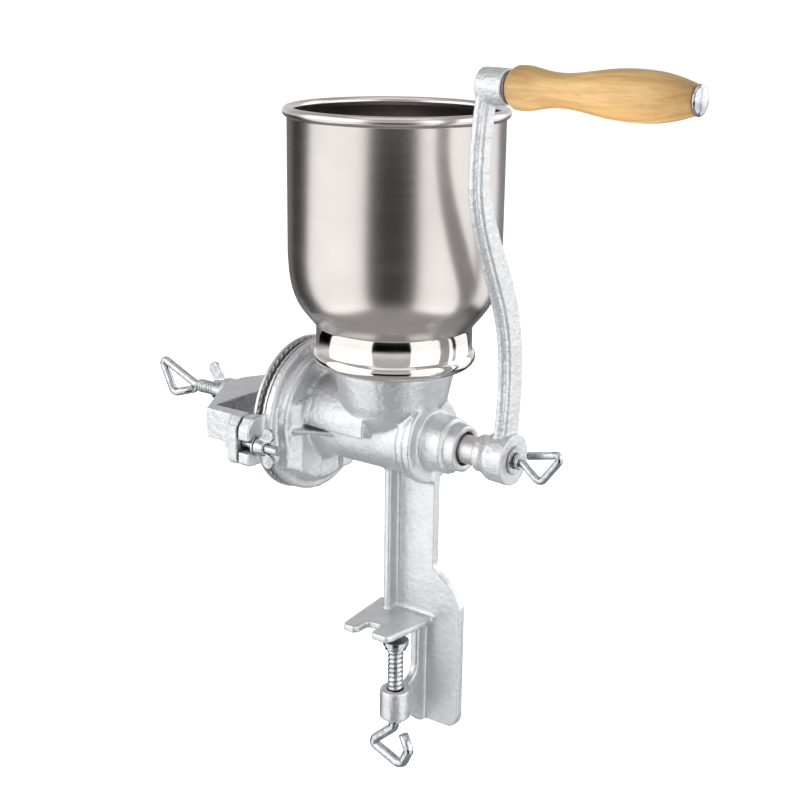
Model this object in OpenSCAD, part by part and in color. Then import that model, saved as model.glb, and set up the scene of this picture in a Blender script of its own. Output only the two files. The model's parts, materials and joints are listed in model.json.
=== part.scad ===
// Clamp-on hand crank grain mill. Millimetres, +Z up.
// Origin: where the clamp screw axis meets the underside of the table ledge.
// The drive axis runs along X, with the crank at +X and the grinding discs at -X.

/* [Drive axis] */
// Height of the drive axis above the underside of the ledge
axis_h = 117; // [100:1:140]
// Distance of the clamp screw from the hopper axis, towards the crank
clamp_x = 25; // [15:1:35]
// Distance of the clamp screw in front of the drive axis
clamp_y = 28; // [22:1:36]
// Radius of the worm shaft where it leaves the bearing
shaft_r = 8.5; // [7:0.1:10]

/* [Hopper] */
// Radius of the straight hopper wall
hopper_r = 62.3; // [50:0.1:75]
// Height of the rim bead above the drive axis
hopper_top = 189.8; // [150:0.1:220]
// Radius of the rolled rim bead
rim_r = 2.9; // [1.5:0.1:4]
// Radius of the polished neck
neck_r = 46; // [38:0.5:52]
// Sheet thickness of the hopper
sheet = 0.9; // [0.6:0.1:2]

/* [Casting] */
// Outer radius of the horizontal barrel
barrel_r = 22.5; // [20:0.5:26]
// Radius of the bore that the worm turns in
chamber_r = 16.5; // [14:0.5:18]
// Radius of the throat where the hopper sits
throat_r = 36.5; // [32:0.5:42]
// Height of the throat's top above the drive axis
throat_top = 41; // [35:0.5:50]
// Outer radius of the disc flange
flange_r = 47.5; // [42:0.5:52]
// Thickness of the leg and clamp plate
leg_t = 5.7; // [4:0.1:8]
// Lowest point of the clamp plate below the drive axis
leg_bottom = 183; // [160:1:200]
// Thickness of the table ledge
ledge_t = 4.5; // [3:0.1:7]

/* [Grinding discs] */
// Outer radius of the turning disc
disc_r = 48.5; // [44:0.5:52]
// Working gap between the two discs
disc_gap = 0.5; // [0.3:0.1:2]

/* [Yoke] */
// Inside half width of the yoke
yoke_in = 49.3; // [48:0.1:56]
// Thickness of each yoke arm
yoke_t = 8.2; // [5:0.1:12]
// Distance of the yoke corner from the hopper axis
yoke_corner = 98.5; // [90:0.5:110]
// Distance of the end of the screw boss from the hopper axis
yoke_end = 135; // [120:0.5:150]

/* [Crank] */
// Distance of the grip axis above the drive axis
crank_rise = 210; // [150:1:240]
// Distance of the grip axis in front of the drive axis
crank_lead = 27; // [0:1:40]
// Half width of the crank arm at the hub
arm_hub_w = 9; // [6:0.1:12]
// Half width of the crank arm at the grip
arm_top_w = 6.5; // [5:0.1:9]
// Largest radius of the wooden grip
grip_r = 13; // [10:0.1:16]
// Radius of the bolt that the grip turns on
grip_bolt_r = 3; // [2:0.1:4]

/* [Screws] */
// Radius of the clamp screw
clamp_r = 4.75; // [4:0.05:6]
// Gap between the ledge and the clamp pad as drawn
jaw_gap = 2.2; // [2.1:0.1:3]
// Radius of the disc adjusting screw
adjust_r = 4.4; // [3.5:0.1:6]
// Radius of the crank holding screw
crank_screw_r = 3; // [2.5:0.1:4]
// Radius of the two studs of the yoke
yoke_stud_r = 2.9; // [2:0.1:4]
// Radial clearance of sliding and turning fits
fit = 0.06; // [0.02:0.01:0.1]

/* [Hidden] */

cast_col = [0.80, 0.81, 0.83];
steel_col = [0.72, 0.71, 0.72];
zinc_col = [0.85, 0.87, 0.88];
iron_col = [0.38, 0.38, 0.37];
wood_col = [0.86, 0.66, 0.36];

rim_r_pos = hopper_r - 0.3;
shoulder_z = hopper_top - 80;
neck_top = 66;
bead_r = neck_r + 2.2;
seat_gap = 0.3;

flange_x = -61.5;
flange_back = -56;
drum_x = -50;
drum_r = 41;
web_x = -46.4;
fixed_face = -65;
plate_face = fixed_face - disc_gap;
plate_back = -69;
carrier_back = -77;
ball_x = -80.5;
ball_r = 3.6;

collar_x = 20;
collar_end = 30.5;
collar_r = 26;
boss_end = 45;
nose_end = 53.5;
nose_r = 14;
bush_r = 12.5;
bush_end = nose_end - 4;

leg_left = 0.8;
leg_right = 31.5;
leg_wide = 51.5;
rib_t = 4.4;
rib_d = 9.5;
arm_t = 5.4;
boss_low = 170;
boss_high = 151;
boss_r = 9.3;
ledge_z = -axis_h;

ear_y = 55;
ear_z = -7.5;
ear_in = yoke_in;
ear_out = 62.5;
ear_x = -68.6;
ear_back = -60.5;
yoke_top = 9.8;
yoke_low = -9.2;
nut_x = -59;
stud_x = -76.5;

hub_x = 63.5;
hub_end = 86;
hub_r = 15;
arm_x = 75.6;
arm_flange = 3.3;
arm_crown = 4.1;
tip_end = 91.8;
grip_x = 93.3;
grip_end = 196.7;

$fn = 72;

module mill() {
    translate([-clamp_x, clamp_y, axis_h])
        children();
}

module along_x(x0, x1, r0, r1) {
    translate([x0, 0, 0])
        rotate([0, 90, 0])
            cylinder(h = x1 - x0, r1 = r0, r2 = r1);
}

module rod_x(x0, x1, r) {
    along_x(x0, x1, r, r);
}

module box(a, b) {
    translate(a)
        cube(b - a);
}

// Extrudes a shape drawn in X and Z over a span of Y.
module slab_y(y0, y1) {
    translate([0, y1, 0])
        rotate([90, 0, 0])
            linear_extrude(height = y1 - y0)
                children();
}

// Extrudes a shape drawn in Y and Z over a span of X.
module slab_x(x0, x1) {
    translate([x0, 0, 0])
        rotate([90, 0, 90])
            linear_extrude(height = x1 - x0)
                children();
}

// Extrudes a shape drawn in X and Y over a span of Z.
module slab_z(z0, z1) {
    translate([0, 0, z0])
        linear_extrude(height = z1 - z0)
            children();
}

function unit(v) = v / norm(v);

// A bent wire through the points, which are X and Z pairs.
module wire(p, r) {
    for (i = [0 : len(p) - 2]) {
        hull() {
            for (q = [p[i], p[i + 1]]) {
                translate([q[0], 0, q[1]])
                    sphere(r = r, $fn = 24);
            }
        }
    }
}

// A wing nut with its seat at x = 0, its wings up and down, and its bore along X.
module wing_nut(hub_r, hub_l, span, bore_r) {
    difference() {
        union() {
            along_x(0, hub_l, hub_r, hub_r * 0.8);
            for (s = [-1, 1]) {
                slab_y(-1.3, 1.3)
                    polygon([[0.5, s * 2], [hub_l, s * 2], [hub_l + 5.4, s * (span - 5.6)],
                        [hub_l - 2.8, s * (span - 3.4)], [0.5, s * (hub_r - 0.5)]]);
                translate([hub_l + 1.2, 1.3, s * (span - 5)])
                    rotate([90, 0, 0])
                        cylinder(h = 2.6, r = 4.4, $fn = 36);
            }
        }
        rod_x(-1, hub_l + 12, bore_r);
    }
}

module leg_outline() {
    difference() {
        union() {
            polygon([[leg_left, -14], [leg_right, -14], [leg_right, -80], [leg_right + 3, -83.5],
                [leg_right + 10, -89], [leg_wide - 3, -96.5], [leg_wide, -102],
                [leg_wide, 8 - leg_bottom], [leg_wide - 8, -leg_bottom],
                [clamp_x - arm_t / 2, -leg_bottom], [clamp_x - arm_t / 2, ledge_z],
                [leg_left, ledge_z]]);
            translate([leg_wide - 8, 8 - leg_bottom])
                circle(r = 8);
        }
        translate([clamp_x - arm_t / 2 - 5, -leg_bottom - 5])
            square([5, 12]);
    }
}

module ledge_outline() {
    polygon([[-12, leg_t], [-11.2, 0], [-6.6, -38], [-4.5, -41], [2.5, -41], [4.8, -38],
        [4.8, -29], [14.4, -28], [14.4, -38], [16, -40.5], [26, -40.5], [28, -38],
        [leg_right + 0.3, -6], [leg_right + 0.3, leg_t]]);
}

// The clamp arm seen along X: a spine under the ledge and a foot out to the screw.
module clamp_arm_outline() {
    difference() {
        polygon([[-rib_d, ledge_z + 1], [1, ledge_z + 1], [1, -leg_bottom],
            [-4, -leg_bottom], [-12, -boss_low - 6], [-clamp_y, -boss_low],
            [-clamp_y, -boss_high], [-rib_d - 9, -boss_high], [-rib_d, 9 - boss_high]]);
        translate([-rib_d - 9, 9 - boss_high])
            circle(r = 9);
    }
}

module ear_outline(s) {
    polygon([[s * ear_in, yoke_top], [s * 57.5, yoke_top], [s * ear_out, 3.5],
        [s * ear_out, -18], [s * 60, -20], [s * ear_in, -20]]);
}

module slotted_ear_outline(s) {
    difference() {
        ear_outline(s);
        translate([s * (ear_y + 6), ear_z])
            square([12, 7.4], center = true);
        translate([s * ear_y, ear_z])
            circle(r = 3.7, $fn = 36);
    }
}

// The web and gusset that carry each ear from the disc housing, on the side s of the axis.
module ear_web(s) {
    intersection() {
        slab_z(-40, 25)
            polygon([[ear_x, s * (ear_in + 1.6)], [ear_back, s * (ear_in + 1.6)],
                [ear_back, s * 48.5], [-57.2, s * 42.3], [-51.4, s * 38.4],
                [web_x, s * 29.3], [web_x, s * 10], [flange_back, s * 10], [-57.6, s * 38],
                [flange_x + 0.5, s * 46.5], [flange_x, s * 48.2], [ear_x, s * ear_in]]);
        slab_x(ear_x - 1, web_x + 1)
            polygon([[s * 51, yoke_top], [s * 18, 19], [s * 9, 20], [s * 9, -36], [s * 18, -36],
                [s * 35, -26], [s * 51, -20]]);
    }
    slab_z(-2.9, -0.3)
        polygon([[-55.4, s * 35.7], [-51.8, s * 37.6], [-24.6, s * 21.3], [-24.6, s * 10.4],
            [-55.4, s * 10.4]]);
}

module body_casting() {
    mill()
        color(cast_col)
            difference() {
                union() {
                    rod_x(flange_x, flange_back, flange_r);
                    rod_x(flange_back - 1, drum_x - 1.5, drum_r);
                    along_x(drum_x - 1.6, drum_x, drum_r, drum_r - 2);
                    along_x(drum_x - 0.1, drum_x + 6, 27, barrel_r);
                    rod_x(-50, collar_x + 1, barrel_r);
                    rod_x(collar_x, collar_x + 4.6, collar_r - 1);
                    rod_x(collar_x + 4, collar_end, collar_r - 1.8);
                    rod_x(collar_x + 5.6, collar_end, collar_r);
                    rod_x(collar_end - 1, boss_end, 17);
                    rod_x(boss_end - 1, nose_end, nose_r);
                    translate([0, 0, 2])
                        cylinder(h = 12, r1 = 21, r2 = 29);
                    translate([0, 0, 13.9])
                        cylinder(h = 9, r1 = 29, r2 = throat_r - 3.8);
                    translate([0, 0, 22.5])
                        cylinder(h = throat_top - 22.5, r1 = throat_r - 4, r2 = throat_r);
                    intersection() {
                        along_x(drum_x - 1, 0, 27, 33);
                        box([drum_x - 1, -30, 2], [0, 30, throat_top]);
                    }
                    for (s = [-1, 1]) {
                        slab_x(ear_x, ear_back)
                            slotted_ear_outline(s);
                        ear_web(s);
                    }
                    slab_y(0, leg_t)
                        leg_outline();
                    box([leg_left, -rib_d, ledge_z + 1], [leg_left + rib_t, 1, -14]);
                    slab_z(ledge_z, ledge_z + ledge_t)
                        ledge_outline();
                    slab_x(clamp_x - arm_t / 2, clamp_x + arm_t / 2)
                        clamp_arm_outline();
                    translate([clamp_x, -clamp_y, -boss_low])
                        cylinder(h = boss_low - boss_high, r = boss_r);
                }
                rod_x(flange_x - 1, 29, chamber_r);
                along_x(flange_x - 1, flange_x + 6, chamber_r + 8, chamber_r);
                rod_x(28, bush_end, bush_r);
                rod_x(bush_end - 1, nose_end + 1, shaft_r + 1.4);
                translate([0, 0, 30])
                    cylinder(h = 20, r = throat_r - 6);
                translate([0, 0, 8])
                    cylinder(h = 22.01, r1 = 14, r2 = throat_r - 6);
                for (a = [90, 210, 330]) {
                    rotate([a, 0, 0])
                        translate([0, 0, 30])
                            rod_x(flange_x - 1, flange_x + 4.5, 2);
                }
                translate([clamp_x, -clamp_y, -boss_low - 6])
                    cylinder(h = 27, r = clamp_r + fit);
            }
}

// Half section of the hopper shell, drawn as radius and height.
module hopper_wall() {
    polygon([[hopper_r, hopper_top - 1], [hopper_r, shoulder_z], [hopper_r - 0.7, 99],
        [hopper_r - 1.7, 92], [hopper_r - 3.1, 86.5], [hopper_r - 5.4, 81],
        [hopper_r - 8, 77], [hopper_r - 11.2, 73.2], [neck_r + 1.8, 69], [neck_r + 0.5, 67.5],
        [neck_r, neck_top - 1], [neck_r, 52.5], [neck_r + 1, 51.6], [bead_r - 0.4, 50.6],
        [bead_r, 49], [bead_r - 0.3, 46.8], [bead_r - 1.4, 45], [bead_r - 3, 43.8],
        [bead_r - 8, 41.6], [40, throat_top + seat_gap],
        [throat_r - 6.4, throat_top + seat_gap], [throat_r - 6.4, throat_top - 7],
        [throat_r - 7.2, throat_top - 7], [throat_r - 7.2, throat_top + seat_gap + sheet],
        [39.6, throat_top + seat_gap + sheet], [bead_r - 8.4, 42.5], [bead_r - 3.4, 44.6],
        [bead_r - 2.2, 45.6], [bead_r - 1.2, 47.2], [bead_r - 0.9, 49],
        [bead_r - 1.2, 50], [neck_r - sheet, 52], [neck_r - sheet, neck_top],
        [neck_r - 0.2, 68.2], [neck_r + 1.1, 69.9], [hopper_r - 11.9, 73.9],
        [hopper_r - 8.7, 77.7], [hopper_r - 6.2, 81.6], [hopper_r - 4, 86.9],
        [hopper_r - 2.6, 92.2], [hopper_r - 1.6, 99.1], [hopper_r - sheet, shoulder_z],
        [hopper_r - sheet, hopper_top - 1]]);
}

module hopper() {
    mill()
        color(steel_col)
            union() {
                rotate_extrude($fn = 96)
                    hopper_wall();
                translate([0, 0, hopper_top])
                    rotate_extrude($fn = 96)
                        translate([rim_r_pos, 0])
                            circle(r = rim_r, $fn = 32);
            }
}

module shaft_bush() {
    mill()
        color(iron_col)
            difference() {
                rod_x(29, bush_end, bush_r);
                rod_x(28, bush_end + 1, shaft_r + fit);
            }
}

module auger() {
    mill()
        color(cast_col)
            difference() {
                union() {
                    rod_x(-60, hub_x, shaft_r);
                    intersection() {
                        rod_x(hub_x - 1, hub_end - 3, shaft_r - 0.6);
                        box([hub_x - 1, -10, -10], [hub_end, 10, 6]);
                    }
                    rod_x(carrier_back - 1, -59, 7);
                    translate([-54, 0, 0])
                        rotate([0, 90, 0])
                            linear_extrude(height = 72, twist = -720, slices = 60, $fn = 8)
                                for (a = [0, 180]) {
                                    rotate([0, 0, a])
                                        polygon([[6, -3.2], [14.6, -1.6], [15, 0],
                                            [14.6, 1.6], [6, 3.2]]);
                                }
                }
                rod_x(hub_end - 22, hub_end, crank_screw_r + fit);
                translate([ball_x, 0, 0])
                    sphere(r = ball_r + 0.3, $fn = 48);
            }
}

// Teeth round the edge of a grinding disc.
module tooth_ring(outer, inner, teeth) {
    difference() {
        polygon([for (i = [0 : 2 * teeth - 1])
            (i % 2 == 0 ? outer : outer - 1.4)
                * [cos(i * 180 / teeth), sin(i * 180 / teeth)]]);
        circle(r = inner);
    }
}

module fixed_plate() {
    mill()
        color(cast_col)
            difference() {
                union() {
                    rod_x(fixed_face + 2, flange_x, flange_r);
                    rod_x(fixed_face, fixed_face + 2.5, flange_r - 6);
                    slab_x(fixed_face + 0.9, fixed_face + 2.5)
                        tooth_ring(flange_r - 0.6, 30, 60);
                }
                rod_x(fixed_face - 1, flange_x + 1, chamber_r + 6);
                for (a = [90, 210, 330]) {
                    rotate([a, 0, 0])
                        translate([0, 0, 30]) {
                            rod_x(fixed_face - 1, flange_x + 1, 2);
                            rod_x(fixed_face - 1, fixed_face + 1.6, 3.6);
                        }
                }
            }
}

module plate_screws() {
    mill()
        color(zinc_col)
            for (a = [90, 210, 330]) {
                rotate([a, 0, 0])
                    translate([0, 0, 30]) {
                        rod_x(fixed_face + 1.5, flange_x + 4, 1.98);
                        rod_x(fixed_face + 0.2, fixed_face + 1.6, 3.5);
                    }
            }
}

module rotating_plate() {
    mill()
        color(cast_col)
            difference() {
                union() {
                    rod_x(plate_back, plate_face - 1.6, disc_r);
                    rod_x(plate_back, plate_face, disc_r - 7);
                    slab_x(plate_back + 1, plate_face - 0.5)
                        tooth_ring(disc_r - 0.6, 30, 60);
                }
                rod_x(plate_back - 1, plate_face + 1, 7.02);
                along_x(plate_face - 2, plate_face + 0.1, 10, chamber_r + 6);
                for (a = [0, 180]) {
                    rotate([a, 0, 0])
                        translate([0, 0, 24])
                            rod_x(plate_back - 1, plate_face + 1, 2.5);
                }
            }
}

module plate_carrier() {
    mill()
        color(iron_col)
            difference() {
                union() {
                    rod_x(plate_back - 3, plate_back, 38);
                    rod_x(carrier_back, plate_back, 13);
                    for (a = [0, 180]) {
                        rotate([a, 0, 0])
                            translate([0, 0, 24])
                                rod_x(plate_back - 5, plate_back, 5.5);
                    }
                }
                rod_x(carrier_back - 1, plate_back + 1, 7.02);
                for (a = [0, 180]) {
                    rotate([a, 0, 0])
                        translate([0, 0, 24])
                            rod_x(plate_back - 6, plate_back + 1, 2.5);
                }
            }
}

module drive_pins() {
    mill()
        color(zinc_col)
            for (a = [0, 180]) {
                rotate([a, 0, 0])
                    translate([0, 0, 24]) {
                        rod_x(plate_back - 5, plate_face - 1, 2.48);
                        rod_x(plate_back - 6.6, plate_back - 5, 4);
                    }
            }
}

module thrust_ball() {
    mill()
        color(zinc_col)
            translate([ball_x, 0, 0])
                sphere(r = ball_r, $fn = 48);
}

module yoke() {
    mill()
        color(cast_col)
            difference() {
                union() {
                    slab_z(yoke_low, yoke_top)
                        difference() {
                            polygon([[-77, -yoke_in - yoke_t], [-yoke_corner, -yoke_in - yoke_t],
                                [-yoke_end + 7, -9], [-yoke_end + 7, 9],
                                [-yoke_corner, yoke_in + yoke_t], [-77, yoke_in + yoke_t]]);
                            translate([-yoke_corner - 0.5, -yoke_in])
                                square([40, 2 * yoke_in]);
                        }
                    for (s = [-1, 1]) {
                        slab_y(s > 0 ? yoke_in : -yoke_in - yoke_t, s > 0 ? yoke_in + yoke_t : -yoke_in)
                            polygon([[-84, yoke_low + 1], [-84, -12.5], [-77, -15], [-76, 0]]);
                        slab_x(-77.5, ear_x - 1.5)
                            ear_outline(s);
                        box([ear_x - 2, s > 0 ? ear_in : -ear_in - 4, -18],
                            [ear_x - 0.05, s > 0 ? ear_in + 4 : -ear_in, -12]);
                        box([ear_x - 2, s > 0 ? ear_in : -ear_in - 4, -3],
                            [ear_x - 0.05, s > 0 ? ear_in + 4 : -ear_in, 8]);
                    }
                    rod_x(-yoke_end, -112, 9.4);
                }
                rod_x(-yoke_end - 1, -90, adjust_r + fit);
                for (s = [-1, 1]) {
                    translate([0, s * ear_y, ear_z])
                        rod_x(stud_x, ear_x, yoke_stud_r);
                }
                slab_z(yoke_low - 1, 4)
                    difference() {
                        polygon([[-107, -44], [-yoke_end + 16, -8], [-yoke_end + 16, 8],
                            [-107, 44]]);
                        translate([-yoke_end + 10, -14])
                            square([30, 28]);
                    }
            }
}

module adjusting_screw() {
    mill()
        color(zinc_col) {
            rod_x(-160, ball_x - ball_r - 0.3, adjust_r);
            translate([-158, 0, 0])
                wire([[0, 0], [-6, 0.5], [-33, 12.2], [-35, 9.8], [-26.5, -7.8], [-23.5, -8.8],
                    [-7, -3.5]], 2.7);
        }
}

module lock_wing_nut() {
    mill()
        color(zinc_col)
            translate([-yoke_end - 0.3, 0, 0])
                mirror([1, 0, 0])
                    wing_nut(8, 9, 19, adjust_r + fit);
}

module yoke_studs() {
    mill()
        color(zinc_col)
            for (s = [-1, 1]) {
                translate([0, s * ear_y, ear_z])
                    rod_x(stud_x, -43, yoke_stud_r);
            }
}

module ear_washer(s) {
    translate([0, s * ear_y, ear_z])
        difference() {
            rod_x(ear_back + 0.1, nut_x - 0.2, 6);
            rod_x(ear_back - 1, nut_x + 1, yoke_stud_r + 0.35);
        }
}

module washer_front() {
    mill()
        color(zinc_col)
            ear_washer(-1);
}

module washer_rear() {
    mill()
        color(zinc_col)
            ear_washer(1);
}

module ear_nut(s) {
    translate([nut_x + 0.1, s * ear_y, ear_z])
        wing_nut(5.6, 6.5, 13, yoke_stud_r + fit);
}

module wing_nut_front() {
    mill()
        color(zinc_col)
            ear_nut(-1);
}

module wing_nut_rear() {
    mill()
        color(zinc_col)
            ear_nut(1);
}

function bezier(a, b, c, d, t) =
    a * pow(1 - t, 3) + 3 * b * pow(1 - t, 2) * t + 3 * c * (1 - t) * t * t + d * pow(t, 3);
function arm_low(t) = bezier([0, 0], [5, 28], [8, 60], [-2, 87], t);
function arm_mid(t) = bezier([-2, 87], [-12, 114], [-32.5, 138], [-32.5, 165], t);
function arm_high(t) =
    bezier([-32.5, 165], [-32.5, 180], [-30, 196], [-crank_lead, crank_rise], t);
function arm_path(n) = concat([for (i = [0 : n - 1]) arm_low(i / n)],
    [for (i = [0 : n - 1]) arm_mid(i / n)], [for (i = [0 : n]) arm_high(i / n)]);
function arm_half(z) = z < 110 ? arm_hub_w
    : arm_hub_w + (arm_top_w - arm_hub_w) * min(1, (z - 110) / 60);
function arm_normal(p, i) =
    let (d = unit(p[min(i + 1, len(p) - 1)] - p[max(i - 1, 0)])) [-d[1], d[0]];
function arm_edge(p, s, trim) =
    [for (i = [0 : len(p) - 1]) p[i] + s * (arm_half(p[i][1]) - trim) * arm_normal(p, i)];
function backwards(v) = [for (i = [len(v) - 1 : -1 : 0]) v[i]];

// The curved arm seen along X, made narrower on each side by trim.
module arm_outline(trim) {
    p = arm_path(14);
    polygon(concat(arm_edge(p, 1, trim), backwards(arm_edge(p, -1, trim))));
}

module crank_arm() {
    mill()
        color(cast_col)
            difference() {
                union() {
                    rod_x(hub_x, hub_x + 5.2, 11);
                    along_x(hub_x + 5, hub_x + 10, 11.6, hub_r - 0.6);
                    along_x(hub_x + 10, hub_end, hub_r - 0.6, hub_r);
                    slab_x(arm_x, arm_x + arm_flange)
                        arm_outline(0);
                    slab_x(arm_x + arm_flange - 0.1, arm_x + arm_flange + arm_crown * 0.55)
                        arm_outline(1);
                    slab_x(arm_x + arm_flange, arm_x + arm_flange + arm_crown)
                        arm_outline(3);
                    translate([0, -crank_lead, crank_rise])
                        rod_x(arm_x, tip_end, 9.5);
                }
                intersection() {
                    rod_x(hub_x - 1, hub_end - 2.9, shaft_r - 0.6 + fit);
                    box([hub_x - 2, -10, -10], [hub_end, 10, 6 + fit]);
                }
                rod_x(hub_end - 4, hub_end + 1, crank_screw_r + 0.5);
                translate([0, -crank_lead, crank_rise])
                    rod_x(arm_x + 3, tip_end + 1, grip_bolt_r);
            }
}

module crank_washer() {
    mill()
        color(zinc_col)
            difference() {
                rod_x(hub_end + 0.1, hub_end + 1.5, 8);
                rod_x(hub_end - 1, hub_end + 3, crank_screw_r + 0.4);
            }
}

module crank_screw() {
    mill()
        color(zinc_col)
            translate([hub_end, 0, 0]) {
                rod_x(-16, 3, crank_screw_r);
                rod_x(1.8, 4.6, 4.8);
                wire([[1.5, 0], [6.5, -1], [16, -8.6], [19, -8.4], [29.8, 6], [28.8, 9],
                    [9.5, 4.6]], 2.3);
            }
}

module grip_bolt() {
    mill()
        color(zinc_col)
            translate([0, -crank_lead, crank_rise]) {
                rod_x(arm_x + 3.1, grip_end + 1, grip_bolt_r);
                along_x(grip_end + 0.3, grip_end + 1.8, 7.8, 7.4);
                along_x(grip_end + 1.7, grip_end + 3.4, 7.2, 4.5);
            }
}

module grip_washer() {
    mill()
        color(iron_col)
            translate([0, -crank_lead, crank_rise])
                difference() {
                    rod_x(tip_end, grip_x - 0.3, 8.6);
                    rod_x(tip_end - 1, grip_x + 1, grip_bolt_r);
                }
}

module wood_grip() {
    mill()
        color(wood_col)
            translate([grip_x, -crank_lead, crank_rise])
                rotate([0, 90, 0])
                    rotate_extrude($fn = 72)
                        polygon([[grip_bolt_r + fit, 0], [grip_r - 4.4, 0], [grip_r - 2.4, 2.6],
                            [grip_r - 1.6, 5], [grip_r - 1.5, 8], [grip_r - 1.7, 12],
                            [grip_r - 2.7, 17], [grip_r - 3.6, 22], [grip_r - 4.1, 27],
                            [grip_r - 4.15, 32], [grip_r - 3.8, 37], [grip_r - 3, 43],
                            [grip_r - 1.9, 50], [grip_r - 0.8, 57], [grip_r - 0.2, 64],
                            [grip_r, 71], [grip_r - 0.15, 78], [grip_r - 0.8, 85],
                            [grip_r - 1.9, 91], [grip_r - 3.3, 96], [grip_r - 4.6, 100],
                            [grip_r - 5.4, grip_end - grip_x], [grip_bolt_r + fit, grip_end - grip_x]]);
}

module clamp_screw() {
    mill()
        color(zinc_col)
            translate([clamp_x, -clamp_y, -boss_low]) {
                translate([0, 0, -3.5])
                    cylinder(h = boss_low - axis_h - 0.8, r = clamp_r);
                wire([[0, 0], [-0.8, -7.8], [-15, -20.5], [-15.3, -24], [3, -31], [6.5, -29.5],
                    [11, -20], [6.5, -10.5]], 3.1);
            }
}

module clamp_pad() {
    mill()
        color(zinc_col)
            translate([clamp_x, -clamp_y, -axis_h])
                difference() {
                    union() {
                        translate([0, 0, -4.8])
                            cylinder(h = 4.8 - jaw_gap, r = 7.8);
                        translate([0, 0, -7.5])
                            cylinder(h = 4, r = 6.6);
                    }
                    translate([0, 0, -8])
                        cylinder(h = 4, r = clamp_r + 0.35);
                }
}

body_casting();
hopper();
shaft_bush();
auger();
fixed_plate();
plate_screws();
rotating_plate();
plate_carrier();
drive_pins();
thrust_ball();
yoke();
adjusting_screw();
lock_wing_nut();
yoke_studs();
washer_front();
washer_rear();
wing_nut_front();
wing_nut_rear();
crank_arm();
crank_washer();
crank_screw();
grip_bolt();
grip_washer();
wood_grip();
clamp_screw();
clamp_pad();
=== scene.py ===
"""The looks of a clamp-on grain mill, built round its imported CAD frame. Every length is in metres
unless a name ends in _mm, and every piece lies in the CAD's own frame."""

import json
import math

import bpy
import numpy as np
from mathutils import Matrix, Vector, noise

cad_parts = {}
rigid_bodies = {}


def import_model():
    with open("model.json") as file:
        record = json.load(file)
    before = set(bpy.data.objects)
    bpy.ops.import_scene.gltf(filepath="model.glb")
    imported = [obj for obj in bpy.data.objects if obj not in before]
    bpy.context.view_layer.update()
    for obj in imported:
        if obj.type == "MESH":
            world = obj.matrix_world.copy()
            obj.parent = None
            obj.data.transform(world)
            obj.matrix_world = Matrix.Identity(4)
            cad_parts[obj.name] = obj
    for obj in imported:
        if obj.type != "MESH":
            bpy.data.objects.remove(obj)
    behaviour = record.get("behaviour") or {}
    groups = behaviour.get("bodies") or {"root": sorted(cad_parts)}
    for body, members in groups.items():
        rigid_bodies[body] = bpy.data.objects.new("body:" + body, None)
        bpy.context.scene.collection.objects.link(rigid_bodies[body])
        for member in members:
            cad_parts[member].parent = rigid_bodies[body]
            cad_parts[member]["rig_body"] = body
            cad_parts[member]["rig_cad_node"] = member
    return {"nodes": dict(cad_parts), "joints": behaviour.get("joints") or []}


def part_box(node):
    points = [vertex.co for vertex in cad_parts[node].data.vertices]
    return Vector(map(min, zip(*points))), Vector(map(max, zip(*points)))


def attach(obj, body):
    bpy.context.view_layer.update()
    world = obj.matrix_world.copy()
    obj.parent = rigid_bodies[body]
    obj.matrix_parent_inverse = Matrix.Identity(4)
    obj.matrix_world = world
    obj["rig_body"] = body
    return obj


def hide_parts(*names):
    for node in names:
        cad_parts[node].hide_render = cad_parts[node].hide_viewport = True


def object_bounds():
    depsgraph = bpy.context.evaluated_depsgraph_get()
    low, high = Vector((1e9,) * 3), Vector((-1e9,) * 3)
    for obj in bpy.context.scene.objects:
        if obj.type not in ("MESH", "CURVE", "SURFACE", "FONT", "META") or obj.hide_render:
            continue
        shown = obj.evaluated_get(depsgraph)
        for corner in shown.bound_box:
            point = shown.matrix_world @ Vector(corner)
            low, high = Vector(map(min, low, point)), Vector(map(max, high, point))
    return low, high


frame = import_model()
cad_low, cad_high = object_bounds()

MM = 0.001
NODES = frame["nodes"]
BODY_OF = {n: o["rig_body"] for n, o in NODES.items()}


def middle(node):
    """The centre of a CAD node's box."""
    low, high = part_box(node)
    return (low + high) / 2


def joint(name):
    return next(j for j in frame["joints"] if j["name"] == name)


DRIVE = Vector(joint("crank_spin")["pos_m"])
MILL = Vector((middle("hopper").x, DRIVE.y, DRIVE.z))
GRIP = Vector(joint("grip_spin")["pos_m"])


def at(x_mm, y_mm, z_mm):
    """A point given in millimetres from where the hopper's axis meets the drive axis."""
    return MILL + Vector((x_mm, y_mm, z_mm)) * MM


# ---------------------------------------------------------------- mesh helpers


def new_mesh(name, points, faces):
    mesh = bpy.data.meshes.new(name)
    mesh.from_pydata([tuple(p) for p in points], [], faces)
    mesh.validate()
    mesh.update()
    mesh.shade_smooth()
    obj = bpy.data.objects.new(name, mesh)
    bpy.context.scene.collection.objects.link(obj)
    return obj


def evaluated(obj):
    """Replaces obj's mesh with the result of its modifiers."""
    dg = bpy.context.evaluated_depsgraph_get()
    mesh = bpy.data.meshes.new_from_object(obj.evaluated_get(dg))
    obj.modifiers.clear()
    obj.data = mesh
    return obj


def joined(name, objects):
    """One object made of several meshes that lie in the row frame."""
    points, faces = [], []
    for o in objects:
        start = len(points)
        points += [o.matrix_world @ v.co for v in o.data.vertices]
        faces += [[start + i for i in f.vertices] for f in o.data.polygons]
        if "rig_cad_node" not in o:
            bpy.data.objects.remove(o)
    return new_mesh(name, points, faces)


def coordinates(mesh):
    co = np.empty(len(mesh.vertices) * 3)
    mesh.vertices.foreach_get("co", co)
    return co.reshape(-1, 3)


def set_coordinates(mesh, co):
    mesh.vertices.foreach_set("co", co.ravel())
    mesh.update()


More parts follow.
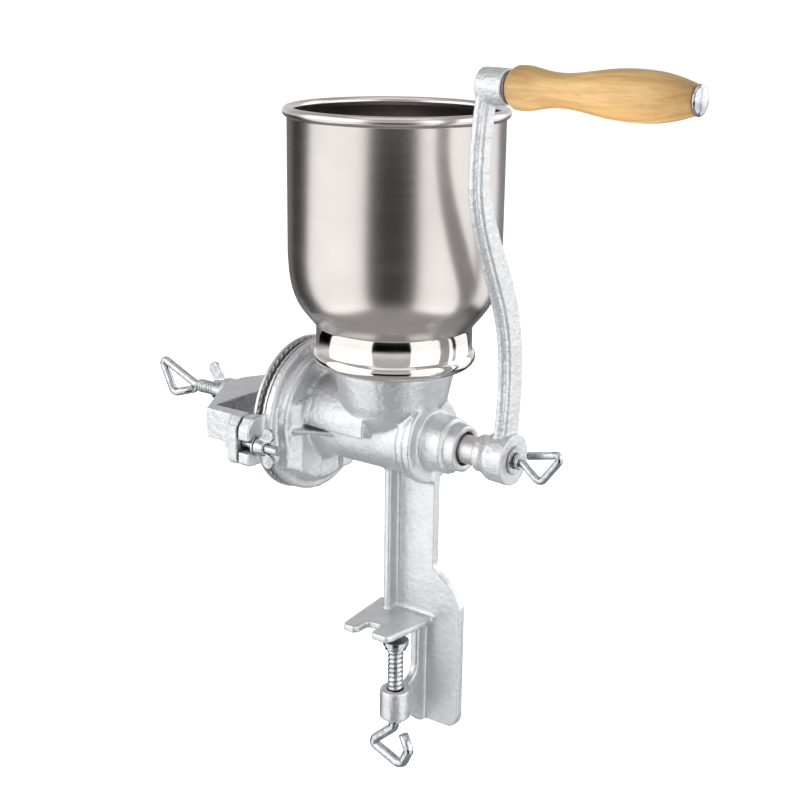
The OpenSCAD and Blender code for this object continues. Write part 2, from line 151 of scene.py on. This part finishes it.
def vertex_normals(co, quads):
    """Area-weighted vertex normals of a mesh of quads."""
    cross = np.cross(co[quads[:, 2]] - co[quads[:, 0]], co[quads[:, 3]] - co[quads[:, 1]])
    total = np.zeros_like(co)
    for k in range(4):
        for axis in range(3):
            total[:, axis] += np.bincount(quads[:, k], cross[:, axis], len(co))
    return total / np.maximum(np.linalg.norm(total, axis=1), 1e-20)[:, None]


def relax(mesh, steps, outward_only=False):
    """Moves each vertex half way to the mean of its neighbours. With outward_only, only the
    vertices of hollow corners move, so that the corners fill up into fillets."""
    co = coordinates(mesh)
    edges = np.empty(len(mesh.edges) * 2, int)
    mesh.edges.foreach_get("vertices", edges)
    a, b = edges.reshape(-1, 2).T
    quads = np.array([f.vertices[:] for f in mesh.polygons if len(f.vertices) == 4])
    count = np.bincount(np.concatenate((a, b)), minlength=len(co))[:, None]
    for _ in range(steps):
        total = np.empty_like(co)
        for axis in range(3):
            total[:, axis] = np.bincount(a, co[b, axis], len(co))
            total[:, axis] += np.bincount(b, co[a, axis], len(co))
        step = total / np.maximum(count, 1) - co
        if outward_only:
            outward = (step * vertex_normals(co, quads)).sum(axis=1)
            step *= (outward > 0)[:, None]
        co += step / 2
    set_coordinates(mesh, co)


def roughen(mesh, depth, size):
    """Moves a mesh's surface in and out by up to depth, in lumps of about size."""
    co = coordinates(mesh)
    normals = np.empty(len(co) * 3)
    mesh.vertex_normals.foreach_get("vector", normals)
    lumps = np.array([noise.fractal(Vector(p) / size, 0.6, 2.0, 3) for p in co])
    set_coordinates(mesh, co + normals.reshape(-1, 3) * (lumps * depth)[:, None])


VOXEL_STEPS = 2
LUMP_SIZE_MM = 2.5


def cast(name, node, voxel_mm, fillet, wear, keep, lumps_mm=0.0):
    """A sand-cast piece: a CAD solid remeshed, its hollow corners filleted and its edges worn
    in that many steps. keep is the share of its faces that stay."""
    obj = joined(name, [NODES[node]])
    remesh = obj.modifiers.new("remesh", "REMESH")
    remesh.mode = "VOXEL"
    remesh.voxel_size = voxel_mm * MM
    evaluated(obj)
    relax(obj.data, VOXEL_STEPS)
    relax(obj.data, fillet, outward_only=True)
    relax(obj.data, wear)
    if lumps_mm:
        roughen(obj.data, lumps_mm * MM, LUMP_SIZE_MM * MM)
    decimate = obj.modifiers.new("decimate", "DECIMATE")
    decimate.ratio = keep
    evaluated(obj)
    obj.data.shade_smooth()
    return obj


def frame_for(axis):
    """Two directions at right angles to axis and to each other."""
    axis = Vector(axis)
    side = axis.orthogonal().normalized()
    return side, axis.cross(side).normalized()


def lathed(name, outline_mm, origin, axis=(1, 0, 0), segments=96):
    """Turns an outline of (distance along the axis, radius) pairs round an axis."""
    axis = Vector(axis)
    u, v = frame_for(axis)
    points, faces = [], []
    for along, radius in outline_mm:
        for k in range(segments):
            t = 2 * math.pi * k / segments
            outward = u * math.cos(t) + v * math.sin(t)
            points.append(origin + (axis * along + outward * radius) * MM)
    rings = len(outline_mm)
    for i in range(rings - 1):
        for k in range(segments):
            n = (k + 1) % segments
            faces.append([i * segments + k, i * segments + n,
                          (i + 1) * segments + n, (i + 1) * segments + k])
    if outline_mm[0] != outline_mm[-1]:
        faces.append(list(range(segments))[::-1])
        faces.append([(rings - 1) * segments + k for k in range(segments)])
    obj = new_mesh(name, points, faces)
    weld = obj.modifiers.new("weld", "WELD")
    weld.merge_threshold = 1e-7
    return evaluated(obj)


def spline(points, steps):
    """A smooth curve through the points: Catmull-Rom, with steps pieces to each stretch."""
    p = [np.array(q, float) for q in points]
    p = [2 * p[0] - p[1], *p, 2 * p[-1] - p[-2]]
    out = []
    for i in range(1, len(p) - 2):
        for k in range(steps):
            t = k / steps
            out.append(0.5 * (2 * p[i] + (p[i + 1] - p[i - 1]) * t
                              + (2 * p[i - 1] - 5 * p[i] + 4 * p[i + 1] - p[i + 2]) * t * t
                              + (3 * p[i] - p[i - 1] - 3 * p[i + 1] + p[i + 2]) * t ** 3))
    return [*out, p[-2]]


def soft_corners(outline_mm, radius_mm, steps=4):
    """Rounds the corners of an open outline by up to radius_mm."""
    out = [tuple(outline_mm[0])]
    for a, b, c in zip(outline_mm, outline_mm[1:], outline_mm[2:]):
        a, b, c = Vector(a), Vector(b), Vector(c)
        reach = min(radius_mm, (a - b).length * 0.45, (c - b).length * 0.45)
        start, end = b + (a - b).normalized() * reach, b + (c - b).normalized() * reach
        for k in range(steps + 1):
            t = k / steps
            out.append(tuple(start * (1 - t) ** 2 + b * 2 * t * (1 - t) + end * t * t))
    return [*out, tuple(outline_mm[-1])]


def swept(name, path, radius, sides=28):
    """A round bar along a path, with closed ends."""
    path = [Vector(p) for p in path]
    points, faces = [], []
    ahead = (path[1] - path[0]).normalized()
    side = ahead.orthogonal().normalized()
    for i, p in enumerate(path):
        tangent = (path[min(i + 1, len(path) - 1)] - path[max(i - 1, 0)]).normalized()
        side = (side - tangent * side.dot(tangent)).normalized()
        up = tangent.cross(side)
        for k in range(sides):
            t = 2 * math.pi * k / sides
            points.append(p + (side * math.cos(t) + up * math.sin(t)) * radius)
    for i in range(len(path) - 1):
        for k in range(sides):
            n = (k + 1) % sides
            faces.append([i * sides + k, i * sides + n, (i + 1) * sides + n, (i + 1) * sides + k])
    faces.append(list(range(sides))[::-1])
    faces.append([(len(path) - 1) * sides + k for k in range(sides)])
    return new_mesh(name, points, faces)


RINGS_PER_TURN = 10


def threaded(name, start, axis, length_mm, radius_mm, pitch_mm, depth_mm, sides=48):
    """A threaded rod: a closed tube whose radius follows a right-hand thread, chamfered ends."""
    axis = Vector(axis)
    u, v = frame_for(axis)
    rings = int(length_mm / pitch_mm * RINGS_PER_TURN)
    points, faces = [], []
    for i in range(rings + 1):
        along = length_mm * i / rings
        fade = min(1.0, along / pitch_mm, (length_mm - along) / pitch_mm)
        for k in range(sides):
            turn = (along / pitch_mm - k / sides) % 1
            crest = min(1.0, max(0.0, 2.4 * abs(2 * turn - 1) - 0.7))
            r = radius_mm - depth_mm * (1 - crest * fade)
            t = 2 * math.pi * k / sides
            outward = u * math.cos(t) + v * math.sin(t)
            points.append(start + (axis * along + outward * r) * MM)
    for i in range(rings):
        for k in range(sides):
            n = (k + 1) % sides
            faces.append([i * sides + k, i * sides + n, (i + 1) * sides + n, (i + 1) * sides + k])
    faces.append(list(range(sides))[::-1])
    faces.append([rings * sides + k for k in range(sides)])
    return new_mesh(name, points, faces)


DEGREES_PER_STEP = 9


def rounded_path(points, radius):
    """A path through the points whose corners are arcs of about the radius, in even steps."""
    points = [Vector(p) for p in points]
    out = [points[0]]
    for a, b, c in zip(points, points[1:], points[2:]):
        turn = (b - a).angle(c - b)
        reach = min(radius * math.tan(turn / 2), (b - a).length * 0.49, (c - b).length * 0.49)
        start, end = b + (a - b).normalized() * reach, b + (c - b).normalized() * reach
        steps = max(3, int(math.degrees(turn) / DEGREES_PER_STEP))
        for k in range(steps + 1):
            t = k / steps
            out.append(start * (1 - t) ** 2 + b * 2 * t * (1 - t) + end * t * t)
    return [*out, points[-1]]


# ---------------------------------------------------------------- materials


# The sockets of a Mix node of colours: its factor and the two colours.
MIX_FACTOR, MIX_A, MIX_B = 0, 6, 7


class Paint:
    """A material's node tree, with short calls for the nodes that the finishes below share."""

    def __init__(self, name, **inputs):
        self.material = bpy.data.materials.new(name)
        self.material.use_nodes = True
        self.tree = self.material.node_tree
        self.shader = self.tree.nodes["Principled BSDF"]
        for key, value in inputs.items():
            self.shader.inputs[key.replace("_", " ")].default_value = value
        self.place = self.node("ShaderNodeTexCoord").outputs["Object"]

    def node(self, kind, **settings):
        made = self.tree.nodes.new(kind)
        for key, value in settings.items():
            setattr(made, key, value)
        return made

    def link(self, source, target):
        self.tree.links.new(source, target)

    def stretched(self, scale):
        """The object's coordinates, scaled along each axis."""
        mapping = self.node("ShaderNodeMapping")
        mapping.inputs["Scale"].default_value = scale
        self.link(self.place, mapping.inputs["Vector"])
        return mapping.outputs["Vector"]

    def noise(self, size, detail=3.0, place=None, distortion=0.0):
        """Noise whose lumps are about size metres across."""
        made = self.node("ShaderNodeTexNoise")
        made.inputs["Scale"].default_value = 1 / size
        made.inputs["Detail"].default_value = detail
        made.inputs["Distortion"].default_value = distortion
        self.link(place or self.place, made.inputs["Vector"])
        return made.outputs["Fac"]

    def ramp(self, source, stops):
        """A colour ramp: stops are (position, colour or grey)."""
        made = self.node("ShaderNodeValToRGB")
        band = made.color_ramp
        while len(band.elements) < len(stops):
            band.elements.new(1.0)
        for element, (position, value) in zip(band.elements, stops):
            element.position = position
            shade = (value,) * 3 if isinstance(value, (int, float)) else value
            element.color = (*shade, 1)
        self.link(source, made.inputs["Fac"])
        return made.outputs["Color"]

    def blend(self, kind, factor, a, b):
        """Mixes two colours; each of the inputs is a socket or a value."""
        made = self.node("ShaderNodeMix", data_type="RGBA", blend_type=kind)
        for index, value in ((MIX_FACTOR, factor), (MIX_A, a), (MIX_B, b)):
            socket = made.inputs[index]
            if isinstance(value, bpy.types.NodeSocket):
                self.link(value, socket)
            else:
                socket.default_value = value if isinstance(value, (int, float)) else (*value, 1)
        return made.outputs[2]

    def colour(self, source):
        self.link(source, self.shader.inputs["Base Color"])

    def roughness(self, source):
        self.link(source, self.shader.inputs["Roughness"])

    def bump(self, source, depth, normal=None):
        """Bump of about depth metres; returns the normal so that bumps can be stacked."""
        made = self.node("ShaderNodeBump")
        made.inputs["Strength"].default_value = 1.0
        made.inputs["Distance"].default_value = depth
        self.link(source, made.inputs["Height"])
        if normal:
            self.link(normal, made.inputs["Normal"])
        self.link(made.outputs["Normal"], self.shader.inputs["Normal"])
        return made.outputs["Normal"]

    def painted_corner_shade(self, shade_colour, source, reach):
        """Painted shade: darkens a colour in the corners within reach, as shadow does on a casting.
        """
        shade = self.node("ShaderNodeAmbientOcclusion", samples=8)
        shade.inputs["Distance"].default_value = reach
        depth = self.ramp(shade.outputs["AO"], [(0.15, 1.0), (0.75, 0.0)])
        return self.blend("MIX", depth, source, shade_colour)


def tinned_iron(name, grain=1.0):
    """Sand-cast iron with a tin coat: silvery, slightly blue, with a sandy grain."""
    tint = (0.73, 0.74, 0.76)
    paint = Paint(name, Metallic=0.88, IOR=1.6)
    sand = paint.noise(0.9 * MM, 4.0)
    patches = paint.noise(9 * MM, 3.0, distortion=0.4)
    base = paint.ramp(patches, [(0.3, [c * 0.90 for c in tint]), (0.7, tint)])
    speck = paint.ramp(sand, [(0.30, 0.72), (0.46, 1.0)])
    tone = paint.blend("MULTIPLY", 0.6, base, speck)
    # Painted shade: the iron's colour darkens to near black in corners within 3 mm.
    paint.colour(paint.painted_corner_shade((0.16, 0.16, 0.17), tone, 3 * MM))
    paint.roughness(paint.ramp(sand, [(0.3, 0.33), (0.7, 0.43)]))
    first = paint.bump(sand, 0.22 * MM * grain)
    paint.bump(paint.noise(3.5 * MM, 2.0), 0.35 * MM * grain, first)
    return paint.material


def satin_steel(name):
    """The hopper's wall: satin stainless steel, spun, with fine rings round it."""
    paint = Paint(name, Metallic=1.0, Anisotropic=0.35)
    rings = paint.noise(0.9 * MM, 3.0, place=paint.stretched((0.02, 0.02, 1.0)))
    cloud = paint.noise(35 * MM, 2.0)
    paint.colour(paint.ramp(cloud, [(0.3, (0.66, 0.62, 0.60)), (0.7, (0.72, 0.68, 0.66))]))
    paint.roughness(paint.ramp(rings, [(0.3, 0.23), (0.7, 0.26)]))
    paint.bump(rings, 0.002 * MM)
    return paint.material


def polished_steel(name):
    """The neck and beads of the hopper: the same steel, polished."""
    paint = Paint(name, Metallic=1.0)
    cloud = paint.noise(12 * MM, 2.0)
    paint.colour(paint.ramp(cloud, [(0.3, (0.76, 0.73, 0.70)), (0.7, (0.82, 0.79, 0.76))]))
    paint.roughness(paint.ramp(cloud, [(0.3, 0.06), (0.7, 0.11)]))
    paint.bump(paint.noise(6 * MM, 2.0), 0.03 * MM)
    return paint.material


def zinc_plate(name):
    """Bright zinc on steel wire, nuts and screws, with small dull patches."""
    paint = Paint(name, Metallic=1.0)
    patches = paint.noise(3 * MM, 3.0, distortion=0.5)
    base = paint.ramp(patches, [(0.35, (0.42, 0.45, 0.47)), (0.65, (0.66, 0.69, 0.71))])
    # Painted shade: the zinc's colour darkens to dark grey in corners within 1.5 mm.
    paint.colour(paint.painted_corner_shade((0.22, 0.23, 0.24), base, 1.5 * MM))
    paint.roughness(paint.ramp(patches, [(0.3, 0.14), (0.7, 0.26)]))
    paint.bump(paint.noise(1.2 * MM, 3.0), 0.05 * MM)
    return paint.material


def ground_iron(name, shade, roughness=0.34):
    """Ground iron of a grey shade, with fine mottled marks: discs, shaft, bush and carrier."""
    paint = Paint(name, Metallic=1.0)
    marks = paint.noise(0.5 * MM, 3.0)
    tone = paint.ramp(marks, [(0.3, shade * 0.85), (0.7, shade)])
    # Painted shade: the iron's colour darkens to black in corners within 1.5 mm.
    paint.colour(paint.painted_corner_shade((0.05, 0.05, 0.05), tone, 1.5 * MM))
    paint.roughness(paint.ramp(marks, [(0.3, roughness), (0.7, roughness + 0.1)]))
    paint.bump(marks, 0.04 * MM)
    return paint.material


def lacquered_wood(name):
    """Pale hardwood under clear lacquer, its grain along the grip."""
    paint = Paint(name, Roughness=0.42, Coat_Weight=0.35, Coat_Roughness=0.22, IOR=1.5)
    long = paint.stretched((0.09, 1.0, 1.0))
    fibre = paint.noise(1.6 * MM, 5.0, place=long, distortion=0.3)
    growth = paint.noise(9 * MM, 3.0, place=long, distortion=1.2)
    pores = paint.noise(0.45 * MM, 2.0, place=paint.stretched((0.05, 1.0, 1.0)))
    base = paint.ramp(growth, [(0.32, (0.56, 0.31, 0.09)), (0.5, (0.68, 0.41, 0.145)),
                               (0.68, (0.78, 0.51, 0.21))])
    # The wood's colour grows darker towards both ends of the grip, darkest at its high-X end.
    ends = paint.node("ShaderNodeSeparateXYZ")
    paint.link(paint.node("ShaderNodeTexCoord").outputs["Generated"], ends.inputs["Vector"])
    darker_ends = paint.ramp(ends.outputs["X"], [(0.0, 0.66), (0.3, 0.95), (0.6, 1.0), (0.8, 0.82),
                                             (1.0, 0.5)])
    base = paint.blend("MULTIPLY", 0.8, base, darker_ends)
    streaks = paint.ramp(fibre, [(0.35, 0.82), (0.6, 1.0)])
    dots = paint.ramp(pores, [(0.3, 0.80), (0.42, 1.0)])
    paint.colour(paint.blend("MULTIPLY", 0.6, paint.blend("MULTIPLY", 0.7, base, streaks), dots))
    paint.bump(fibre, 0.03 * MM)
    return paint.material


CAST = tinned_iron("tinned_cast_iron")
CAST_COARSE = tinned_iron("tinned_cast_iron_coarse", grain=1.8)
SATIN = satin_steel("satin_spun_steel")
POLISHED = polished_steel("polished_steel")
ZINC = zinc_plate("bright_zinc")
GROUND = ground_iron("ground_iron", shade=0.72)
DARK_IRON = ground_iron("dark_iron", shade=0.30, roughness=0.5)
WOOD = lacquered_wood("lacquered_wood")


def piece(obj, node, material):
    """Puts a finished piece in place of its CAD node, on the node's own body."""
    obj.data.materials.clear()
    obj.data.materials.append(material)
    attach(obj, BODY_OF[node])
    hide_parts(node)


# ---------------------------------------------------------------- castings


def body_casting():
    piece(cast("body", "body_casting", 0.8, fillet=6, wear=2, keep=0.6, lumps_mm=0.10),
          "body_casting", CAST)


def yoke_casting():
    piece(cast("bridge_yoke", "yoke", 0.5, fillet=6, wear=3, keep=0.5, lumps_mm=0.18),
          "yoke", CAST_COARSE)


def crank_casting():
    piece(cast("crank", "crank_arm", 0.5, fillet=5, wear=3, keep=0.5, lumps_mm=0.15),
          "crank_arm", CAST_COARSE)


# ---------------------------------------------------------------- hopper


NECK_TOP_MM = 67.6


def hopper_shell():
    """The hopper in one spun sheet: rim bead, wall, shoulder, polished neck, foot bead, spigot."""
    low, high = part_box("hopper")
    rim_mm = 2.9
    wall_mm = (high.x - low.x) / 2 / MM - rim_mm + 0.3
    top_mm = (high.z - MILL.z) / MM - rim_mm
    sheet_mm = 0.9
    neck_mm = wall_mm - 16.3
    bead_mm = neck_mm + 2.2
    seat_mm = 41.3
    bead = [(top_mm + rim_mm * math.sin(t), wall_mm - 0.3 + rim_mm * math.cos(t))
            for t in np.linspace(-1.35, math.pi + 1.0, 40)]
    shoulder = spline([(top_mm - 80, wall_mm), (98, wall_mm - 0.8), (88.5, wall_mm - 2.6),
                       (80.5, wall_mm - 5.8), (74.4, wall_mm - 10), (69.4, neck_mm + 2.2),
                       (67.2, neck_mm + 0.45), (65.2, neck_mm)], 6)
    foot = spline([(52.6, neck_mm), (51.4, neck_mm + 1.1), (50.3, bead_mm - 0.4), (48.6, bead_mm),
                   (46.7, bead_mm - 0.4), (45.0, bead_mm - 1.5), (43.7, bead_mm - 3.2),
                   (42.4, bead_mm - 6), (seat_mm, bead_mm - 9)], 5)
    spigot = [(seat_mm, 30.1), (34.0, 30.1), (34.0, 29.3), (seat_mm + sheet_mm, 29.3)]
    inner = [(seat_mm + sheet_mm, bead_mm - 9.5), (45.6, bead_mm - 2.4), (48.6, bead_mm - 1.0),
             (52.0, neck_mm - sheet_mm), (66.4, neck_mm - sheet_mm), (70.2, neck_mm + 1.3),
             (75.0, wall_mm - 11), (81.0, wall_mm - 6.8), (88.8, wall_mm - 3.6),
             (98.2, wall_mm - 1.8), (top_mm - 80, wall_mm - sheet_mm)]
    outline = [(top_mm - 2.5, wall_mm - sheet_mm), *bead[::-1], (top_mm - 3.5, wall_mm), *shoulder,
               *foot, *spigot, *inner, (top_mm - 2.5, wall_mm - sheet_mm)]
    outline = [(float(z), float(r)) for z, r in outline]
    obj = lathed("hopper_shell", outline, MILL, axis=(0, 0, 1), segments=160)
    obj.data.materials.append(SATIN)
    obj.data.materials.append(POLISHED)
    for face in obj.data.polygons:
        z = (face.center.z - MILL.z) / MM
        face.material_index = 1 if z < NECK_TOP_MM else 0
    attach(obj, BODY_OF["hopper"])
    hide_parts("hopper")


# ---------------------------------------------------------------- screws and nuts


BEND_MM = 3.6


def loop_screw(name, node, points_mm, start, threads, wire_mm, collar=None):
    """A threaded rod whose far end is a wire bent into a loop, in the X-Z plane of start."""
    path = rounded_path([start + Vector((x, 0, z)) * MM for x, z in points_mm], BEND_MM * MM)
    wire = swept(name + "_wire", path, wire_mm * MM)
    rod = threaded(name + "_rod", **threads)
    obj = joined(name, [wire, rod] + ([collar] if collar else []))
    piece(obj, node, ZINC)


def clamp_spindle():
    length_mm = 52.2
    foot = Vector((0, 0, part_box("clamp_screw")[1].z - length_mm * MM))
    loop_screw("clamp_spindle", "clamp_screw",
               [(0, 6), (0, 0), (-0.8, -7.8), (-15, -20.5), (-15.3, -24), (3, -31), (6.5, -29.5),
                (11, -20), (6.5, -10.5)],
               foot + Vector((0, 0, 3.5 * MM)),
               {"start": foot, "axis": (0, 0, 1), "length_mm": length_mm, "radius_mm": 4.75,
                "pitch_mm": 3.0, "depth_mm": 0.45},
               wire_mm=3.05)


def adjusting_spindle():
    tip = Vector((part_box("adjusting_screw")[1].x, DRIVE.y, DRIVE.z))
    loop_screw("adjusting_spindle", "adjusting_screw",
               [(6, 0), (0, 0), (-6, 0.5), (-33, 12.2), (-35, 9.8), (-26.5, -7.8), (-23.5, -8.8),
                (-7, -3.5)],
               at(-158, 0, 0),
               {"start": tip, "axis": (-1, 0, 0), "length_mm": 75.6, "radius_mm": 4.4,
                "pitch_mm": 2.0, "depth_mm": 0.45},
               wire_mm=2.65)


def crank_key_loop():
    outline = [(0, 0.5), *soft_corners([(0, 3.5), (0, 4.8), (2.8, 4.8), (2.8, 3.2)], 0.8),
               (2.8, 0.5)]
    collar = lathed("crank_key_collar", outline, at(87.8, 0, 0), segments=48)
    loop_screw("crank_key_loop", "crank_screw",
               [(-3, 0), (1.5, 0), (6.5, -1), (16, -8.6), (19, -8.4), (29.8, 6), (28.8, 9),
                (9.5, 4.6)],
               at(86, 0, 0),
               {"start": at(70, 0, 0), "axis": (1, 0, 0), "length_mm": 19, "radius_mm": 3.0,
                "pitch_mm": 2.0, "depth_mm": 0.4},
               wire_mm=2.3, collar=collar)


def wing_nuts():
    for node in ("lock_wing_nut", "wing_nut_front", "wing_nut_rear"):
        shape = cast(node + "_shape", node, 0.3, fillet=10, wear=4, keep=0.6)
        piece(shape, node, ZINC)


# ---------------------------------------------------------------- grip


def wooden_grip():
    low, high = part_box("wood_grip")
    length_mm = (high.x - low.x) / MM
    full_mm = (high.z - low.z) / 2 / MM
    bore_mm = 3.06
    waist = ((5.0, 1.6), (8, 1.5), (12, 1.75), (17, 2.7), (22, 3.6), (27, 4.1), (32, 4.15),
             (37, 3.8), (43, 3.0), (50, 1.9), (57, 0.85), (64, 0.25), (71, 0), (78, 0.2), (85, 0.8),
             (91, 1.9), (96, 3.2), (100, 4.5), (length_mm - 1.2, 5.2))
    body = spline([(along, full_mm - less) for along, less in waist], 4)
    outline = [(0, bore_mm), (0, full_mm - 5.0), (0.4, full_mm - 4.2), (2.4, full_mm - 2.6),
               (4.0, full_mm - 1.75), *[tuple(map(float, p)) for p in body],
               (length_mm - 0.3, full_mm - 5.9), (length_mm, full_mm - 6.6), (length_mm, bore_mm),
               (0, bore_mm)]
    obj = lathed("grip_wood", outline, Vector((low.x, GRIP.y, GRIP.z)), segments=128)
    piece(obj, "wood_grip", WOOD)


def grip_bolt_shape():
    low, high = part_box("grip_bolt")
    length_mm = (high.x - low.x) / MM
    outline = [(0, 0.4), (0, 2.4), (0.6, 3.0), (length_mm - 3.2, 3.0), (length_mm - 3.1, 7.2),
               (length_mm - 2.9, 7.7), (length_mm - 2.3, 7.8), (length_mm - 1.4, 7.3),
               (length_mm - 0.6, 6.0), (length_mm - 0.15, 4.4), (length_mm, 2.4), (length_mm, 0.4)]
    obj = lathed("grip_bolt_shape", outline, Vector((low.x, GRIP.y, GRIP.z)), segments=96)
    piece(obj, "grip_bolt", ZINC)


# ---------------------------------------------------------------- CAD nodes that stay


def dress(node, material, bevel_mm):
    """Keeps a CAD node, with a material and softened edges."""
    obj = NODES[node]
    obj.data.materials.clear()
    obj.data.materials.append(material)
    weld = obj.modifiers.new("weld", "WELD")
    weld.merge_threshold = 1e-6
    if bevel_mm:
        bevel = obj.modifiers.new("bevel", "BEVEL")
        bevel.width = bevel_mm * MM
        bevel.segments = 3
        bevel.limit_method = "ANGLE"
        bevel.angle_limit = math.radians(35)
        bevel.harden_normals = True


def cad_pieces():
    for node, material, bevel_mm in (
            ("shaft_bush", DARK_IRON, 0.3), ("auger", GROUND, 0.2), ("fixed_plate", GROUND, 0.15),
            ("rotating_plate", GROUND, 0.15), ("plate_carrier", DARK_IRON, 0.5),
            ("plate_screws", ZINC, 0.2), ("drive_pins", ZINC, 0.3), ("thrust_ball", ZINC, 0),
            ("yoke_studs", ZINC, 0.4), ("washer_front", ZINC, 0.2), ("washer_rear", ZINC, 0.2),
            ("crank_washer", ZINC, 0.3), ("grip_washer", DARK_IRON, 0.2), ("clamp_pad", ZINC, 0.5)):
        dress(node, material, bevel_mm)


# ---------------------------------------------------------------- stage


CAMERA_PLACE = Vector((0.4799, -0.6511, 0.3878))
CAMERA_YAW = math.radians(36.36)
CAMERA_PITCH = math.radians(16.53)
CAMERA_ROLL = math.radians(0.79)
CAMERA_LENS_MM = 66.5
STAGE_CENTRE = (cad_low + cad_high) / 2


def camera():
    data = bpy.data.cameras.new("camera")
    data.lens = CAMERA_LENS_MM
    data.sensor_width = 36
    data.clip_start, data.clip_end = 0.01, 100
    obj = bpy.data.objects.new("camera", data)
    bpy.context.scene.collection.objects.link(obj)
    turn = (Matrix.Rotation(CAMERA_YAW, 4, "Z")
            @ Matrix.Rotation(math.pi / 2 - CAMERA_PITCH, 4, "X")
            @ Matrix.Rotation(CAMERA_ROLL, 4, "Z"))
    obj.matrix_world = Matrix.Translation(CAMERA_PLACE) @ turn
    bpy.context.scene.camera = obj


def softbox(name, azimuth, height, distance, width, tall, power):
    """A rectangular light at an azimuth, in degrees to the right of the camera's side. It faces
    the middle of the mill."""
    turn = CAMERA_YAW + math.radians(azimuth)
    side = Vector((math.sin(turn), -math.cos(turn), 0))
    data = bpy.data.lights.new(name, "AREA")
    data.shape = "RECTANGLE"
    data.size, data.size_y = width, tall
    data.energy = power
    obj = bpy.data.objects.new(name, data)
    bpy.context.scene.collection.objects.link(obj)
    place = STAGE_CENTRE + side * distance + Vector((0, 0, height))
    aim = (STAGE_CENTRE - place).normalized()
    turned = aim.to_track_quat("-Z", "Y").to_matrix().to_4x4()
    obj.matrix_world = Matrix.Translation(place) @ turned
    obj.visible_camera = False


def lights():
    softbox("left_softbox", azimuth=-68, height=0.0, distance=1.6,
            width=2.4, tall=3.4, power=32)
    softbox("right_softbox", azimuth=59, height=0.0, distance=1.6,
            width=2.2, tall=3.4, power=29)
    softbox("side_softbox", azimuth=118, height=0.2, distance=1.6,
            width=1.0, tall=2.4, power=9)
    softbox("back_softbox", azimuth=180, height=0.0, distance=2.4,
            width=4.0, tall=3.0, power=6.5)
    softbox("top_softbox", azimuth=0, height=1.8, distance=0.3,
            width=1.6, tall=1.6, power=5)


def world():
    """Even for matt surfaces; in reflections, a studio that is brightest at the horizon, nearly
    black just below it, and pale again straight down."""
    studio = bpy.data.worlds.new("studio")
    bpy.context.scene.world = studio
    studio.use_nodes = True
    studio.cycles.sampling_method = "NONE"
    tree = studio.node_tree
    background = tree.nodes["Background"]
    path = tree.nodes.new("ShaderNodeLightPath")
    place = tree.nodes.new("ShaderNodeTexCoord")
    split = tree.nodes.new("ShaderNodeSeparateXYZ")
    height = tree.nodes.new("ShaderNodeMapRange")
    height.inputs["From Min"].default_value = -1.0
    ramp = tree.nodes.new("ShaderNodeValToRGB")
    band = ramp.color_ramp
    stops = ((0.0, 0.38), (0.14, 0.34), (0.22, 0.03), (0.33, 0.002), (0.405, 0.002), (0.43, 0.05),
             (0.452, 0.30), (0.50, 0.80), (0.62, 0.55), (1.0, 0.40))
    while len(band.elements) < len(stops):
        band.elements.new(1.0)
    for element, (position, grey) in zip(band.elements, stops):
        element.position = position
        element.color = (grey, grey * 0.98, grey * 0.98, 1)
    mix = tree.nodes.new("ShaderNodeMix")
    mix.data_type = "RGBA"
    mix.inputs[MIX_A].default_value = (0.34, 0.34, 0.355, 1)
    tree.links.new(place.outputs["Generated"], split.inputs["Vector"])
    tree.links.new(split.outputs["Z"], height.inputs["Value"])
    tree.links.new(height.outputs["Result"], ramp.inputs["Fac"])
    tree.links.new(path.outputs["Is Glossy Ray"], mix.inputs[MIX_FACTOR])
    tree.links.new(ramp.outputs["Color"], mix.inputs[MIX_B])
    tree.links.new(mix.outputs[2], background.inputs["Color"])


def floor():
    """A wide pale floor just under the mill. It shows in no reflection and stops no light."""
    half, drop = 40.0, 0.002
    z = cad_low.z - drop
    corners = [(-half, -half, z), (half, -half, z), (half, half, z), (-half, half, z)]
    obj = new_mesh("floor", corners, [[0, 1, 2, 3]])
    paint = Paint("pale_floor", Roughness=0.9, Specular_IOR_Level=0.0)
    tone = paint.ramp(paint.noise(0.5, 2.0), [(0.3, 0.97), (0.7, 0.985)])
    paint.colour(tone)
    paint.shader.inputs["Emission Color"].default_value = (1, 1, 1, 1)
    paint.shader.inputs["Emission Strength"].default_value = 0.8
    obj.data.materials.append(paint.material)
    obj.visible_glossy = False
    obj.visible_shadow = False


camera()
world()
lights()
floor()
bpy.context.scene.view_settings.view_transform = "Standard"

body_casting()
yoke_casting()
crank_casting()
hopper_shell()
clamp_spindle()
adjusting_spindle()
crank_key_loop()
wing_nuts()
wooden_grip()
grip_bolt_shape()
cad_pieces()

bpy.context.view_layer.update()
